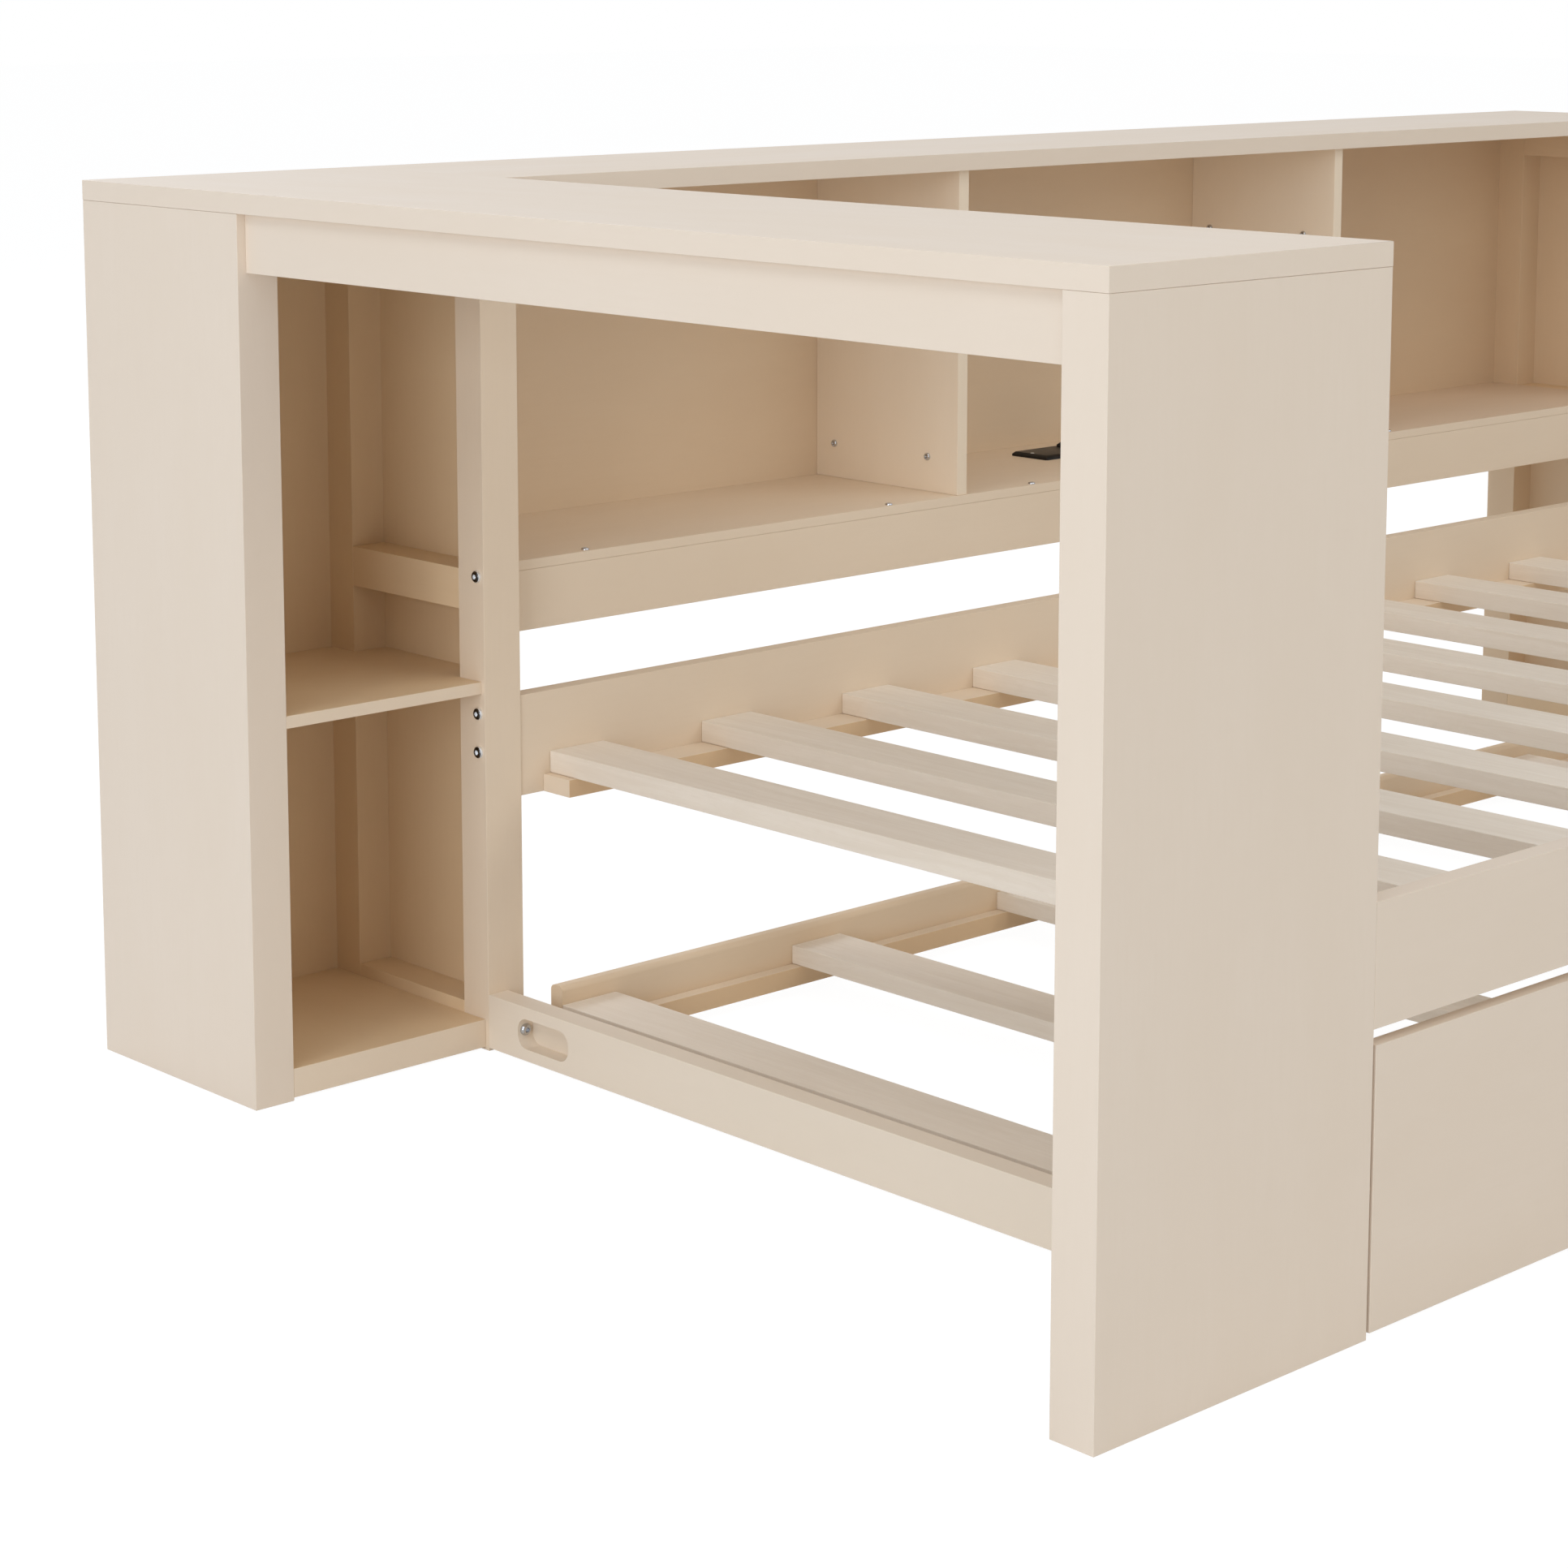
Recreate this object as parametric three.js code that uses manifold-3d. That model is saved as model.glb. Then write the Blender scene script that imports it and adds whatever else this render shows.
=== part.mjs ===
// Platform bed with a trundle, a desk across its head and a bookcase along its back.
// Millimetres. X runs from the desk end to the foot, Y from the front to the back, Z up.
// Every place is counted from the front corner of the desk end, at floor level, and the
// last group moves the whole to its own origin, the middle of the footprint on the floor.
import * as THREE from "three";
import { RoundedBoxGeometry } from "three/addons/geometries/RoundedBoxGeometry.js";
import { mergeVertices } from "three/addons/utils/BufferGeometryUtils.js";
import Module from "manifold-3d";

// Room for the mattress, and the sizes that the outline follows from
const bedClearLength = 1935;
const bedClearWidth = 1017;
const overallHeight = 850;
const deskDepth = 314;
const cabinetDepth = 255;
const bookcaseTopDepth = 243;

// Boards
const topThickness = 19;
const slabThickness = 43;
const easedEdge = 0.5;
const slatEase = 1;
const seam = 0.1;
const floorClearance = 3;

// End frames: two posts, three rails and a thin panel let into the posts from the foot side
const frameThickness = 44;
const frontPostWidth = 39;
const backPostWidth = 49;
const framePanelThickness = 5;
const framePanelLap = 10;
const frameTopRailHeight = 39.5;
const frameMiddleRailHeight = 40;
const frameMiddleRailDrop = 1;
const frameBottomRailHeight = 40;

// Back panels, let into rebates in the back edges of what stands beside them
const backPanelThickness = 5;
const backRebateDepth = 10;
const backRebateWidth = 8;
const panelPlay = 0.2;

// Desk
const apronInset = 9;
const apronThickness = 18;
const apronHeight = 53.5;

// Cabinet under the desk
const cabinetSetback = 5;
const cabinetFloorThickness = 28;
const cabinetShelfThickness = 12;
const cabinetShelfTop = 367;

// Stretcher between the desk leg and the head frame, with a pocket for its bolt
const stretcherThickness = 24;
const stretcherHeight = 54;
const pocketLength = 76;
const pocketHeight = 30;
const pocketDepth = 18;
const pocketRadius = 13;
const pocketInset = 45;

// Bookcase
const bookcaseShelfTop = 475.5;
const bookcaseShelfThickness = 10;
const bookcaseShelfSetback = 8;
const bookcaseRailHeight = 60;
const bookcaseRailThickness = 15;
const dividerThickness = 15;
const dividerSetback = 10;
const dividerNames = ["divider_left", "divider_right"];

// Bed rails, ledgers and slats
const bedRailThickness = 19;
const bedRailHeight = 100;
const bedRailBottom = 248;
const backRailSetback = 2;
const bedLedgerDepth = 40;
const bedLedgerHeight = 17.5;
const bedLedgerInset = 29;
const bedSlatWidth = 68.5;
const bedSlatThickness = 22;
const bedSlatCount = 10;
const firstBedSlatInset = 37.5;
const lastBedSlatInset = 35.75;
const footRailThickness = 24;

// Trundle, which runs between the desk leg and the foot leg
const trundleEndGap = 3.5;
const trundleBoardThickness = 14;
const trundleBoardBottom = 4.5;
const trundleBoardTop = 235;
const trundleDepth = 996;
const trundleRailThickness = 17;
const trundleRailBottom = 5;
const trundleRailTop = 67;
const trundleRailRadius = 5.5;
const trundleLedgerDepth = 15;
const trundleLedgerHeight = 19.5;
const trundleLedgerBottom = 10;
const trundleSlatWidth = 68.5;
const trundleSlatThickness = 19.5;
const trundleSlatCount = 7;
const lastTrundleSlatInset = 20.5;

// Casters, screwed under the trundle's first and last slats
const wheelRadius = 12.5;
const wheelWidth = 14;
const wheelShoulder = 3;
const wheelGroove = 1.2;
const hubRadius = 5.5;
const axleRadius = 2.5;
const axlePlay = 0.1;
const rivetRadius = 4.2;
const rivetHeight = 1.2;
const cheekThickness = 1.5;
const cheekGap = 1;
const cheekRadius = 6;
const flangeLength = 44;
const flangeWidth = 24;
const flangeThickness = 2;
const casterInset = 66;
const roundSides = 24;

// Power hub on the bookcase shelf
const hubPlateLength = 150;
const hubPlateWidth = 58;
const hubPlateThickness = 5;
const hubPlateRadius = 4;
const hubPlateChamfer = 4;
const hubBlockLength = 76;
const hubBlockWidth = 44;
const hubBlockHeight = 6;
const hubBlockChamfer = 5;
const hubInset = 258;
const hubSetback = 46;

// Levels and planes that follow from the sizes above
const underTop = overallHeight - topThickness;
const headFrameNear = deskDepth - frameThickness;
const footFrameNear = deskDepth + bedClearLength;
const overallLength = footFrameNear + frameThickness;
const backRailFront = bedRailThickness + bedClearWidth;
const postFront = backRailFront - backRailSetback;
const cabinetFront = postFront + cabinetSetback;
const overallDepth = cabinetFront + cabinetDepth;
const bookcaseTopFront = overallDepth - bookcaseTopDepth;
const backPanelFront = overallDepth - backRebateDepth;
const frontPostBack = postFront + frontPostWidth;
const backPostFront = overallDepth - backPostWidth;
const bookcaseShelfFront = bookcaseTopFront + bookcaseShelfSetback;
const bookcaseRailTop = bookcaseShelfTop - bookcaseShelfThickness;
const bookcaseRailBottom = bookcaseRailTop - bookcaseRailHeight;
const bedSlatBottom = bedRailBottom + bedLedgerHeight;
const trundleNear = deskDepth + trundleEndGap;
const trundleFar = footFrameNear - trundleEndGap;
const trundleRailFront = trundleDepth - trundleRailThickness;
const trundleSlatBottom = trundleLedgerBottom + trundleLedgerHeight;
const bayCount = dividerNames.length + 1;
const bayLength = (bedClearLength - dividerNames.length * dividerThickness) / bayCount;
const bedSlatRun = bedClearLength - firstBedSlatInset - lastBedSlatInset - bedSlatWidth;
const bedSlatPitch = bedSlatRun / (bedSlatCount - 1);
const trundleSlatRun = trundleFar - trundleNear - lastTrundleSlatInset - trundleSlatWidth;
const trundleSlatPitch = trundleSlatRun / (trundleSlatCount - 1);

// Finishes
const paint = new THREE.MeshStandardMaterial({ color: 0xe0d2c1, roughness: 0.55, metalness: 0 });
const innerPaint = new THREE.MeshStandardMaterial({ color: 0xdccbb5, roughness: 0.6, metalness: 0 });
const bareWood = new THREE.MeshStandardMaterial({ color: 0xddcfbd, roughness: 0.7, metalness: 0 });
const blackPlastic = new THREE.MeshStandardMaterial({ color: 0x17171a, roughness: 0.45, metalness: 0 });
const zincSteel = new THREE.MeshStandardMaterial({ color: 0xb9bcc0, roughness: 0.35, metalness: 1 });
const greyNylon = new THREE.MeshStandardMaterial({ color: 0x3a3b3d, roughness: 0.5, metalness: 0 });

const wasm = await Module();
wasm.setup();

// A closed geometry as a solid that can be cut and joined
function solidOf(geometry) {
  const bare = geometry.clone();
  bare.deleteAttribute("normal");
  bare.deleteAttribute("uv");
  const merged = mergeVertices(bare, 1e-4);
  const vertProperties = Float32Array.from(merged.attributes.position.array);
  const triVerts = Uint32Array.from(merged.index.array);
  return new wasm.Manifold(new wasm.Mesh({ numProp: 3, vertProperties, triVerts }));
}

function geometryOf(solid) {
  const mesh = solid.getMesh();
  const geometry = new THREE.BufferGeometry();
  geometry.setAttribute("position", new THREE.BufferAttribute(mesh.vertProperties, 3));
  geometry.setIndex(new THREE.BufferAttribute(mesh.triVerts, 1));
  geometry.computeVertexNormals();
  return geometry;
}

// A span from one plane to another, less half a seam at each end, so that neighbours never
// share a face
const trimmed = ([from, to]) => [from + seam / 2, to - seam / 2];

// The same for heights, where what stands on the floor keeps its full length
const trimmedUpright = ([from, to]) => [from > 0 ? from + seam / 2 : 0, to - seam / 2];

const middle = ([from, to]) => (from + to) / 2;
const length = ([from, to]) => to - from;

// A board between three pairs of planes, with every edge eased
function boardSolid(x, y, z, radius = easedEdge) {
  const spans = [trimmed(x), trimmed(y), trimmedUpright(z)];
  const geometry = new RoundedBoxGeometry(...spans.map(length), 1, radius);
  geometry.translate(...spans.map(middle));
  return solidOf(geometry);
}

// A plain block, used only to cut with
function blockSolid(x, y, z) {
  const spans = [x, y, z];
  const geometry = new THREE.BoxGeometry(...spans.map(length));
  geometry.translate(...spans.map(middle));
  return solidOf(geometry);
}

// The directions that an outline's first axis, its second axis and its run take
const axisX = new THREE.Vector3(1, 0, 0);
const axisY = new THREE.Vector3(0, 1, 0);
const axisZ = new THREE.Vector3(0, 0, 1);
const runs = {
  alongX: new THREE.Matrix4().makeBasis(axisY, axisZ, axisX),
  alongZ: new THREE.Matrix4().makeBasis(axisX, axisY, axisZ),
  alongMinusY: new THREE.Matrix4().makeBasis(axisX, axisZ, axisY.clone().negate()),
};

// An outline drawn out between two distances along its run, its rims eased if asked
function drawnSolid(outline, run, [from, to], ease = 0) {
  const geometry = new THREE.ExtrudeGeometry(outline, {
    depth: to - from - 2 * ease,
    bevelEnabled: ease > 0,
    bevelThickness: ease,
    bevelSize: ease,
    bevelOffset: -ease,
    bevelSegments: 2,
    curveSegments: 6,
  });
  geometry.translate(0, 0, from + ease);
  geometry.applyMatrix4(run);
  return solidOf(geometry);
}

// A rectangle with its four corners rounded
function roundedRectangle([left, right], [bottom, top], radius) {
  const shape = new THREE.Shape();
  shape.moveTo(left + radius, bottom);
  shape.lineTo(right - radius, bottom);
  shape.absarc(right - radius, bottom + radius, radius, -Math.PI / 2, 0);
  shape.lineTo(right, top - radius);
  shape.absarc(right - radius, top - radius, radius, 0, Math.PI / 2);
  shape.lineTo(left + radius, top);
  shape.absarc(left + radius, top - radius, radius, Math.PI / 2, Math.PI);
  shape.lineTo(left, bottom + radius);
  shape.absarc(left + radius, bottom + radius, radius, Math.PI, Math.PI * 1.5);
  return shape;
}

function polygon(points) {
  return new THREE.Shape(points.map(([x, y]) => new THREE.Vector2(x, y)));
}

// A named piece, pivoted at its own middle
function piece(name, material, solid) {
  const geometry = geometryOf(solid);
  geometry.computeBoundingBox();
  const centre = geometry.boundingBox.getCenter(new THREE.Vector3());
  geometry.translate(-centre.x, -centre.y, -centre.z);
  const mesh = new THREE.Mesh(geometry, material);
  mesh.name = name;
  mesh.position.copy(centre);
  return mesh;
}

function board(name, material, x, y, z, radius = easedEdge) {
  return piece(name, material, boardSolid(x, y, z, radius));
}

const slat = (name, x, y, z) => board(name, bareWood, x, y, z, slatEase);

// Desk top and bookcase top: one L, eased all round and then sawn through where they meet
function tops() {
  const outline = polygon([
    [0, 0],
    [deskDepth, 0],
    [deskDepth, bookcaseTopFront],
    [overallLength, bookcaseTopFront],
    [overallLength, overallDepth],
    [0, overallDepth],
  ]);
  const level = [underTop + seam / 2, overallHeight];
  const whole = drawnSolid(outline, runs.alongZ, level, easedEdge);
  const deskSide = blockSolid([-1, deskDepth], [-1, overallDepth + 1], [0, overallHeight + 1]);
  return [
    piece("desk_top", paint, whole.intersect(deskSide)),
    piece("bookcase_top", paint, whole.subtract(deskSide)),
  ];
}

function desk() {
  const apronX = [apronInset, apronInset + apronThickness];
  return [
    board("desk_leg_panel", paint, [0, deskDepth], [0, slabThickness], [0, underTop]),
    board("desk_apron", paint, apronX, [slabThickness, cabinetFront], [underTop - apronHeight, underTop]),
  ];
}

// Stiles, rails and panel of one end frame. Its near face looks to the desk end, and the
// back panels that reach it come from the sides named, as -1 for the desk end and 1 for the foot.
function endFrame(prefix, near, panelSides) {
  const far = near + frameThickness;
  const panelNear = far - framePanelThickness;
  const full = [0, underTop];
  const cutThrough = [-1, underTop + 1];
  const panelY = [frontPostBack - framePanelLap, backPostFront + framePanelLap];
  const panelRebate = blockSolid([panelNear, far + 1], panelY, cutThrough);
  const frontPost = boardSolid([near, far], [postFront, frontPostBack], full).subtract(panelRebate);
  let backPost = boardSolid([near, far], [backPostFront, overallDepth], full).subtract(panelRebate);
  for (const side of panelSides) {
    const rebateX = side < 0 ? [near - 1, near + backRebateWidth] : [far - backRebateWidth, far + 1];
    backPost = backPost.subtract(blockSolid(rebateX, [backPanelFront, overallDepth + 1], cutThrough));
  }
  const railX = [near, panelNear];
  const railY = [frontPostBack, backPostFront];
  const middleTop = bookcaseShelfTop - frameMiddleRailDrop;
  const levels = {
    top_rail: [underTop - frameTopRailHeight, underTop],
    middle_rail: [middleTop - frameMiddleRailHeight, middleTop],
    bottom_rail: [floorClearance, floorClearance + frameBottomRailHeight],
  };
  const rails = Object.entries(levels).map(([name, z]) => board(`${prefix}_${name}`, paint, railX, railY, z));
  const laidIn = [panelY[0] + panelPlay, panelY[1] - panelPlay];
  return [
    piece(`${prefix}_front_post`, paint, frontPost),
    piece(`${prefix}_back_post`, paint, backPost),
    ...rails,
    board(`${prefix}_frame_panel`, innerPaint, [panelNear, far], laidIn, [floorClearance, underTop]),
  ];
}

// Cabinet between its end panel and the head frame. The shelf reaches between the frame's
// posts to its panel, so it is notched round both of them.
function cabinet() {
  const rebate = blockSolid(
    [slabThickness - backRebateWidth, slabThickness + 1],
    [backPanelFront, overallDepth + 1],
    [-1, underTop + 1],
  );
  const endPanel = boardSolid([0, slabThickness], [cabinetFront, overallDepth], [0, underTop]).subtract(rebate);
  const shelfZ = [cabinetShelfTop - cabinetShelfThickness, cabinetShelfTop];
  const framePanel = deskDepth - framePanelThickness;
  const notches = [
    [cabinetFront - 1, frontPostBack + seam / 2],
    [backPostFront - seam / 2, backPanelFront + 1],
  ];
  let shelf = boardSolid([slabThickness, framePanel], [cabinetFront, backPanelFront], shelfZ);
  for (const notch of notches) {
    shelf = shelf.subtract(blockSolid([headFrameNear - seam / 2, framePanel + 1], notch, [0, underTop]));
  }
  const floorZ = [floorClearance, floorClearance + cabinetFloorThickness];
  const backX = [slabThickness - backRebateWidth + panelPlay, headFrameNear + backRebateWidth - panelPlay];
  const backY = [backPanelFront, backPanelFront + backPanelThickness];
  return [
    piece("cabinet_end_panel", paint, endPanel),
    piece("cabinet_shelf", paint, shelf),
    board("cabinet_floor", paint, [slabThickness, headFrameNear], [cabinetFront, backPanelFront], floorZ),
    board("cabinet_back_panel", innerPaint, backX, backY, [floorClearance, underTop]),
  ];
}

// Stretcher from the desk leg to the head frame, with a blind pocket that leaves room to
// turn the bolt in its end wall
function stretcher() {
  const x = [headFrameNear, headFrameNear + stretcherThickness];
  const z = [floorClearance, floorClearance + stretcherHeight];
  const pocketEnd = postFront - pocketInset;
  const pocketZ = [middle(z) - pocketHeight / 2, middle(z) + pocketHeight / 2];
  const outline = roundedRectangle([pocketEnd - pocketLength, pocketEnd], pocketZ, pocketRadius);
  const pocket = drawnSolid(outline, runs.alongX, [headFrameNear - 1, headFrameNear + pocketDepth]);
  const blank = boardSolid(x, [slabThickness, postFront], z);
  return [piece("head_stretcher", paint, blank.subtract(pocket))];
}

function bookcase() {
  const x = [deskDepth, footFrameNear];
  const y = [bookcaseShelfFront, backPanelFront];
  const dividers = dividerNames.map((name, i) => {
    const near = deskDepth + bayLength + i * (bayLength + dividerThickness);
    const dividerY = [bookcaseTopFront + dividerSetback, backPanelFront];
    return board(name, paint, [near, near + dividerThickness], dividerY, [bookcaseShelfTop, underTop]);
  });
  const railY = [bookcaseShelfFront, bookcaseShelfFront + bookcaseRailThickness];
  const backX = [deskDepth - backRebateWidth + panelPlay, footFrameNear + backRebateWidth - panelPlay];
  const backY = [backPanelFront, backPanelFront + backPanelThickness];
  return [
    board("bookcase_shelf", paint, x, y, [bookcaseRailTop, bookcaseShelfTop]),
    board("bookcase_front_rail", paint, x, railY, [bookcaseRailBottom, bookcaseRailTop]),
    board("bookcase_back_panel", innerPaint, backX, backY, [bookcaseRailBottom, underTop]),
    ...dividers,
  ];
}

// A low block with its upright corners rounded and its top rim chamfered
function chamferedBlock(x, y, [bottom, top], chamfer) {
  const section = ([near, far]) =>
    polygon([
      [near, bottom],
      [far, bottom],
      [far, top - chamfer],
      [far - chamfer, top],
      [near + chamfer, top],
      [near, top - chamfer],
    ]);
  const plan = roundedRectangle(x, y, hubPlateRadius);
  const lengthwise = drawnSolid(section(x), runs.alongMinusY, [-y[1], -y[0]]);
  const crosswise = drawnSolid(section(y), runs.alongX, x);
  return drawnSolid(plan, runs.alongZ, [bottom, top]).intersect(lengthwise).intersect(crosswise);
}

// Power hub: a face plate on the bookcase shelf, and a raised block over its far part
function powerHub() {
  const near = deskDepth + bayLength + dividerThickness + hubInset;
  const back = backPanelFront - hubSetback;
  const plateX = [near, near + hubPlateLength];
  const plateY = [back - hubPlateWidth, back];
  const blockX = [plateX[1] - hubPlateChamfer - hubBlockLength, plateX[1] - hubPlateChamfer];
  const blockY = [middle(plateY) - hubBlockWidth / 2, middle(plateY) + hubBlockWidth / 2];
  const plateTop = bookcaseShelfTop + hubPlateThickness;
  const underBlock = plateTop - hubPlateThickness / 2;
  const plate = chamferedBlock(plateX, plateY, [bookcaseShelfTop + seam / 2, plateTop], hubPlateChamfer);
  const block = chamferedBlock(blockX, blockY, [underBlock, plateTop + hubBlockHeight], hubBlockChamfer);
  return [piece("power_hub", blackPlastic, plate.add(block))];
}

// Bed: back rail between the frames, front rail between the legs, and slats on their ledgers
function bed() {
  const x = [deskDepth, footFrameNear];
  const ledgerX = [deskDepth + bedLedgerInset, footFrameNear - bedLedgerInset];
  const railZ = [bedRailBottom, bedRailBottom + bedRailHeight];
  const ledgerZ = [bedRailBottom, bedSlatBottom];
  const frontLedgerY = [bedRailThickness / 2, bedRailThickness + bedLedgerDepth];
  const frontLedger = boardSolid(ledgerX, frontLedgerY, ledgerZ);
  const frontRail = boardSolid(x, [0, bedRailThickness], railZ).add(frontLedger);
  const slats = Array.from({ length: bedSlatCount }, (unused, i) => {
    const near = deskDepth + firstBedSlatInset + i * bedSlatPitch;
    const slatZ = [bedSlatBottom, bedSlatBottom + bedSlatThickness];
    const name = `bed_slat_${String(i + 1).padStart(2, "0")}`;
    return slat(name, [near, near + bedSlatWidth], [bedRailThickness, backRailFront], slatZ);
  });
  return [
    piece("bed_front_rail", paint, frontRail),
    board("bed_back_rail", paint, x, [backRailFront, backRailFront + bedRailThickness], railZ),
    board("bed_back_ledger", paint, ledgerX, [backRailFront - bedLedgerDepth, backRailFront], ledgerZ),
    ...slats,
  ];
}

// Foot end: a short leg in front, and a rail from it to the foot frame
function footEnd() {
  const far = overallLength;
  const railTop = bedRailBottom + bedRailHeight;
  const railX = [far - footRailThickness, far];
  return [
    board("foot_leg", paint, [footFrameNear, far], [0, frontPostWidth], [0, railTop]),
    board("foot_end_rail", paint, railX, [frontPostWidth, postFront], [bedRailBottom, railTop]),
  ];
}

// Caster bracket, its mounting face at z = 0: a folded channel with a flange on each side,
// its cheeks tapered down to the axle, and the axle riveted through them
function casterBracket(axleDrop) {
  const inside = wheelWidth / 2 + cheekGap;
  const outside = inside + cheekThickness;
  const half = flangeLength / 2;
  const low = -axleDrop - cheekRadius;
  const section = polygon([
    [-half, -flangeThickness],
    [-outside, -flangeThickness],
    [-outside, low],
    [-inside, low],
    [-inside, -flangeThickness],
    [inside, -flangeThickness],
    [inside, low],
    [outside, low],
    [outside, -flangeThickness],
    [half, -flangeThickness],
    [half, -seam],
    [-half, -seam],
  ]);
  const side = new THREE.Shape();
  side.moveTo(-flangeWidth / 2, 0);
  side.lineTo(-flangeWidth / 2, -flangeThickness);
  side.lineTo(-cheekRadius, -axleDrop);
  side.absarc(0, -axleDrop, cheekRadius, Math.PI, Math.PI * 2);
  side.lineTo(flangeWidth / 2, -flangeThickness);
  side.lineTo(flangeWidth / 2, 0);
  const channel = drawnSolid(section, runs.alongMinusY, [-flangeWidth / 2, flangeWidth / 2]);
  const cheeks = drawnSolid(side, runs.alongX, [-half - 1, half + 1]);
  const axle = new THREE.CylinderGeometry(axleRadius, axleRadius, 2 * outside, roundSides);
  axle.rotateZ(Math.PI / 2);
  axle.translate(0, 0, -axleDrop);
  let bracket = channel.intersect(cheeks).add(solidOf(axle));
  for (const end of [-1, 1]) {
    const rivet = new THREE.CylinderGeometry(rivetRadius, rivetRadius, 2 * rivetHeight, roundSides / 2);
    rivet.rotateZ(Math.PI / 2);
    rivet.translate(end * outside, 0, -axleDrop);
    const outer = end < 0 ? [-half, -outside + cheekThickness / 2] : [outside - cheekThickness / 2, half];
    const keep = blockSolid(outer, [-half, half], [-half - axleDrop, half]);
    bracket = bracket.add(solidOf(rivet).intersect(keep));
  }
  return geometryOf(bracket);
}

// Caster wheel on its axle along X: rounded shoulders, a shallow groove on each face
// between the hub and the rim, and a bore that runs free on the axle
function casterWheel() {
  const half = wheelWidth / 2;
  const bore = axleRadius + axlePlay;
  const rim = wheelRadius - wheelShoulder;
  const shoulder = wheelShoulder * (1 - Math.SQRT1_2);
  const profile = [
    [bore, -half],
    [hubRadius, -half],
    [hubRadius + wheelGroove, -half + wheelGroove],
    [rim - wheelGroove, -half + wheelGroove],
    [rim, -half],
    [wheelRadius - shoulder, -half + shoulder],
    [wheelRadius, -half + wheelShoulder],
    [wheelRadius, half - wheelShoulder],
    [wheelRadius - shoulder, half - shoulder],
    [rim, half],
    [rim - wheelGroove, half - wheelGroove],
    [hubRadius + wheelGroove, half - wheelGroove],
    [hubRadius, half],
    [bore, half],
    [bore, -half],
  ];
  const geometry = new THREE.LatheGeometry(profile.map(([x, y]) => new THREE.Vector2(x, y)), roundSides);
  geometry.rotateZ(-Math.PI / 2);
  return geometryOf(solidOf(geometry));
}

// Trundle: front board and back rail, each with its ledger, slats across and a caster
// under both ends of the first and last slats
function trundle() {
  const x = [trundleNear, trundleFar];
  const ledgerZ = [trundleLedgerBottom, trundleSlatBottom];
  const frontLedgerY = [trundleBoardThickness / 2, trundleBoardThickness + trundleLedgerDepth];
  const frontLedger = boardSolid(x, frontLedgerY, ledgerZ);
  const boardZ = [trundleBoardBottom, trundleBoardTop];
  const frontBoard = boardSolid(x, [0, trundleBoardThickness], boardZ).add(frontLedger);

  const railY = trimmed([trundleRailFront, trundleDepth]);
  const railOutline = roundedRectangle(railY, trimmed([trundleRailBottom, trundleRailTop]), trundleRailRadius);
  const backRail = drawnSolid(railOutline, runs.alongX, trimmed(x));

  const slatZ = [trundleSlatBottom, trundleSlatBottom + trundleSlatThickness];
  const slatNear = (i) => trundleNear + i * trundleSlatPitch;
  const slats = Array.from({ length: trundleSlatCount }, (unused, i) => {
    const slatX = [slatNear(i), slatNear(i) + trundleSlatWidth];
    return slat(`trundle_slat_${i + 1}`, slatX, [trundleBoardThickness, trundleRailFront], slatZ);
  });

  const axleDrop = trundleSlatBottom - wheelRadius;
  const bracketGeometry = casterBracket(axleDrop);
  const wheelGeometry = casterWheel();
  const ends = { head: slatNear(0), foot: slatNear(trundleSlatCount - 1) };
  const sides = { front: trundleBoardThickness + casterInset, back: trundleRailFront - casterInset };
  const casters = Object.entries(ends).flatMap(([end, near]) =>
    Object.entries(sides).map(([side, y]) => {
      const caster = new THREE.Group();
      caster.position.set(near + trundleSlatWidth / 2, y, trundleSlatBottom);
      const bracket = new THREE.Mesh(bracketGeometry, zincSteel);
      bracket.name = `caster_bracket_${end}_${side}`;
      const wheel = new THREE.Mesh(wheelGeometry, greyNylon);
      wheel.name = `caster_wheel_${end}_${side}`;
      wheel.position.z = -axleDrop;
      caster.add(bracket, wheel);
      return caster;
    }),
  );

  const group = new THREE.Group();
  group.add(
    piece("trundle_front_board", paint, frontBoard),
    piece("trundle_back_rail", paint, backRail),
    board("trundle_back_ledger", paint, x, [trundleRailFront - trundleLedgerDepth, trundleRailFront], ledgerZ),
    ...slats,
    ...casters,
  );
  return group;
}

const placed = new THREE.Group();
placed.position.set(-overallLength / 2, -overallDepth / 2, 0);
placed.add(
  ...tops(),
  ...desk(),
  ...cabinet(),
  ...endFrame("head", headFrameNear, [-1, 1]),
  ...stretcher(),
  ...bookcase(),
  ...powerHub(),
  ...endFrame("foot", footFrameNear, [-1]),
  ...footEnd(),
  ...bed(),
  trundle(),
);

const platformBed = new THREE.Group();
platformBed.add(placed);

export default platformBed;
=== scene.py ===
"""The platform bed with trundle, dressed for the studio: finishes for every board and slat,
the fasteners, the power hub's fittings, the floor, the light and the camera.

Metres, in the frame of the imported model: X from the desk end to the foot, Y from the front
to the back, Z up, with the origin on the floor under the middle of the whole.
"""

import math

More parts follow.
